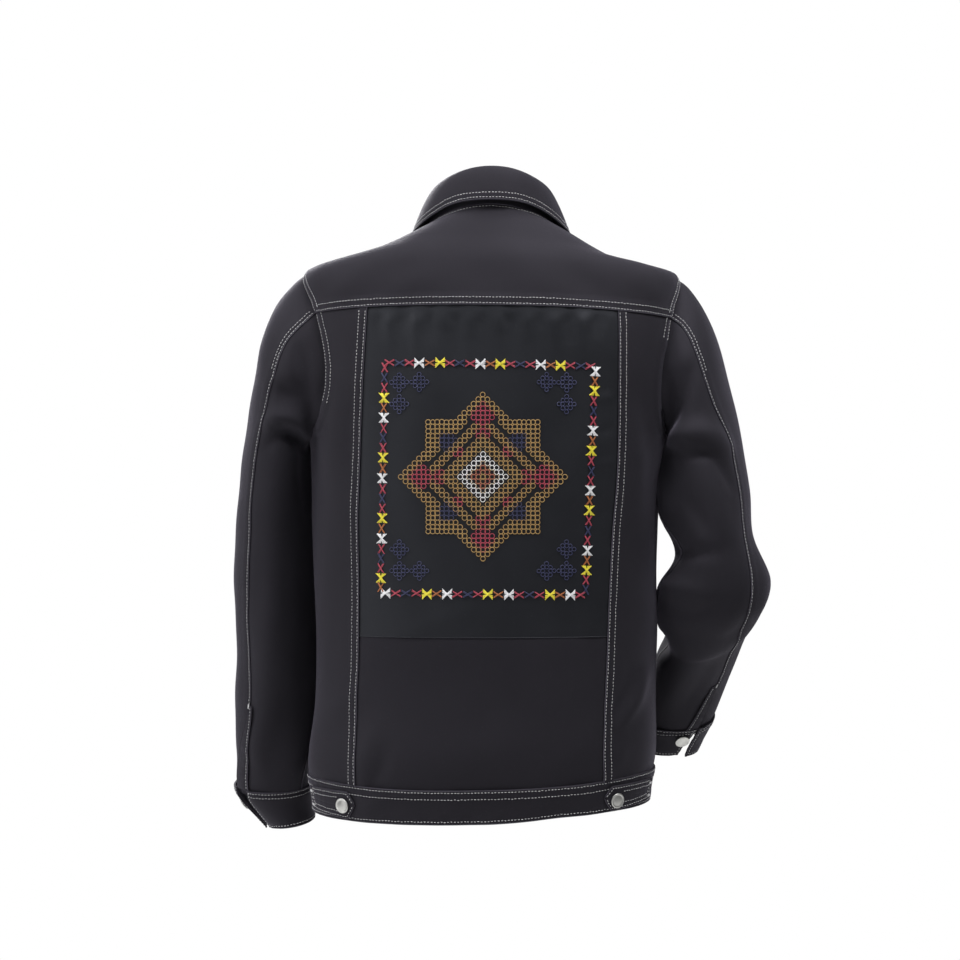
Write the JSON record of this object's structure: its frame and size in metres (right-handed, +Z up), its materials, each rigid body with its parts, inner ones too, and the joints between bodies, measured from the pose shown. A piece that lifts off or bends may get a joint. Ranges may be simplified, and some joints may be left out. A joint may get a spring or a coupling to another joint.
{
  "type": "trucker jacket",
  "caption": "Waist-length cloth jacket in its worn, hollow form, buttoned in front, with one arm down and one bent, and a stitched ornament on its back panel.",
  "frame": {"origin": "middle of the neck base, where the wearer's shoulders and neck carry the jacket", "axes": "+Z up, the front faces -Y, the wearer's left is +X"},
  "size_m": [0.6128, 0.2706, 0.7572],
  "materials": {
    "twill": "matte black cotton twill with pale topstitching",
    "satin": "smooth black satin weave with a soft sheen and thread ornament",
    "metal": "satin nickel shank button"
  },
  "bodies": {
    "root": {"back_lower": "twill", "back_side_left": "twill", "back_side_right": "twill", "back_yoke": "twill", "front_left": "twill", "front_right": "twill", "front_band_left": "twill", "front_band_right": "twill", "waistband": "twill", "hem_tab_left": "twill", "hem_tab_right": "twill", "collar_stand": "twill", "collar_leaf": "twill", "sleeve_left_upper": "twill", "sleeve_left_under": "twill", "sleeve_left_placket": "twill", "sleeve_right_upper": "twill", "sleeve_right_under": "twill", "sleeve_right_placket": "twill", "cuff_left": "twill", "cuff_right": "twill", "back_insert": "satin", "hem_button_left": "metal", "hem_button_right": "metal", "cuff_button_left": "metal", "cuff_button_right": "metal", "front_button_1": "metal", "front_button_2": "metal", "front_button_3": "metal", "front_button_4": "metal", "front_button_5": "metal", "front_button_6": "metal"}
  },
  "joints": []
}
